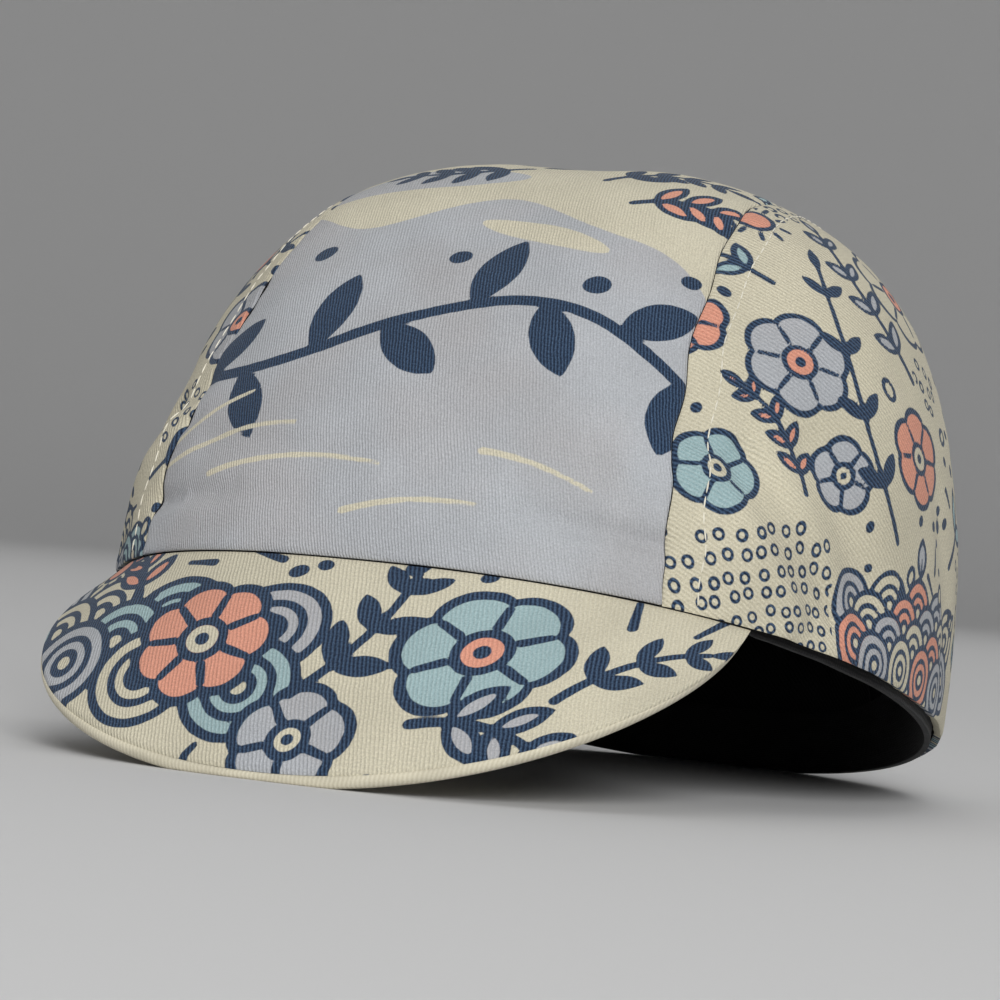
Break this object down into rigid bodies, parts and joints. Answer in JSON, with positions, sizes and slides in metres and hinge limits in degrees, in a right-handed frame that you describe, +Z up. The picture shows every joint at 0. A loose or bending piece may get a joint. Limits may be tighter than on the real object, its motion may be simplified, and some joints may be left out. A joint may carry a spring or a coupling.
{
  "type": "cycling cap",
  "caption": "Soft cotton cycling cap with a panelled round crown, a short down-turned peak in two layers and a dark band inside the rim.",
  "frame": {"origin": "centre of the bounding box at floor level, with the cap standing on the edge of its peak and the back of its rim", "axes": "+Z up, -Y the way the peak points, +X the wearer's left"},
  "size_m": [0.16, 0.2228, 0.1212],
  "materials": {
    "center_panel_cloth": "matt printed cotton twill, grey-blue ground",
    "side_panel_cloth": "matt printed cotton twill, cream ground",
    "peak_cloth": "matt printed cotton twill, cream ground",
    "peak_under_cloth": "matt plain cream cotton with a rolled edge",
    "band_cloth": "matt black woven band"
  },
  "bodies": {
    "root": {"crown_center_panel": "center_panel_cloth", "crown_left_panel": "side_panel_cloth", "crown_right_panel": "side_panel_cloth", "peak_upper": "peak_cloth", "peak_under": "peak_under_cloth", "sweatband": "band_cloth"}
  },
  "joints": []
}
